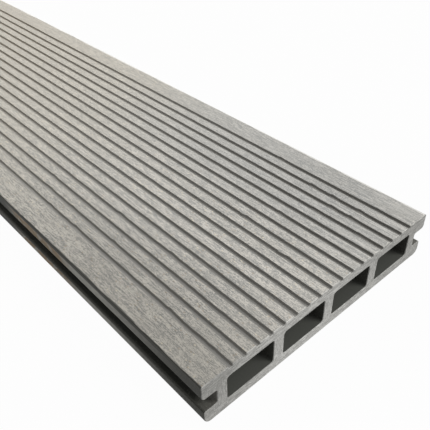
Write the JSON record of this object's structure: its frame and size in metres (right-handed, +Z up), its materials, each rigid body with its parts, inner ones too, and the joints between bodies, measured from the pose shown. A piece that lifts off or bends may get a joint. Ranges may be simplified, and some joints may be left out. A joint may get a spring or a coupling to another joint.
{
  "type": "hollow grooved decking board",
  "caption": "Hollow extruded wood-plastic composite decking board, grooved walking face, clip slots along both long sides, lying flat.",
  "frame": {"origin": "middle of the underside, half-way along the board", "axes": "+X across the board, +Y along the board away from the end that the picture shows, +Z up through the grooved walking face"},
  "size_m": [0.15, 2.2, 0.025],
  "materials": {
    "composite": "wood-plastic composite in stone grey, brushed walking face, dark extruded skin in grooves, slots and chambers"
  },
  "bodies": {
    "root": {"decking_board": "composite"}
  },
  "joints": []
}
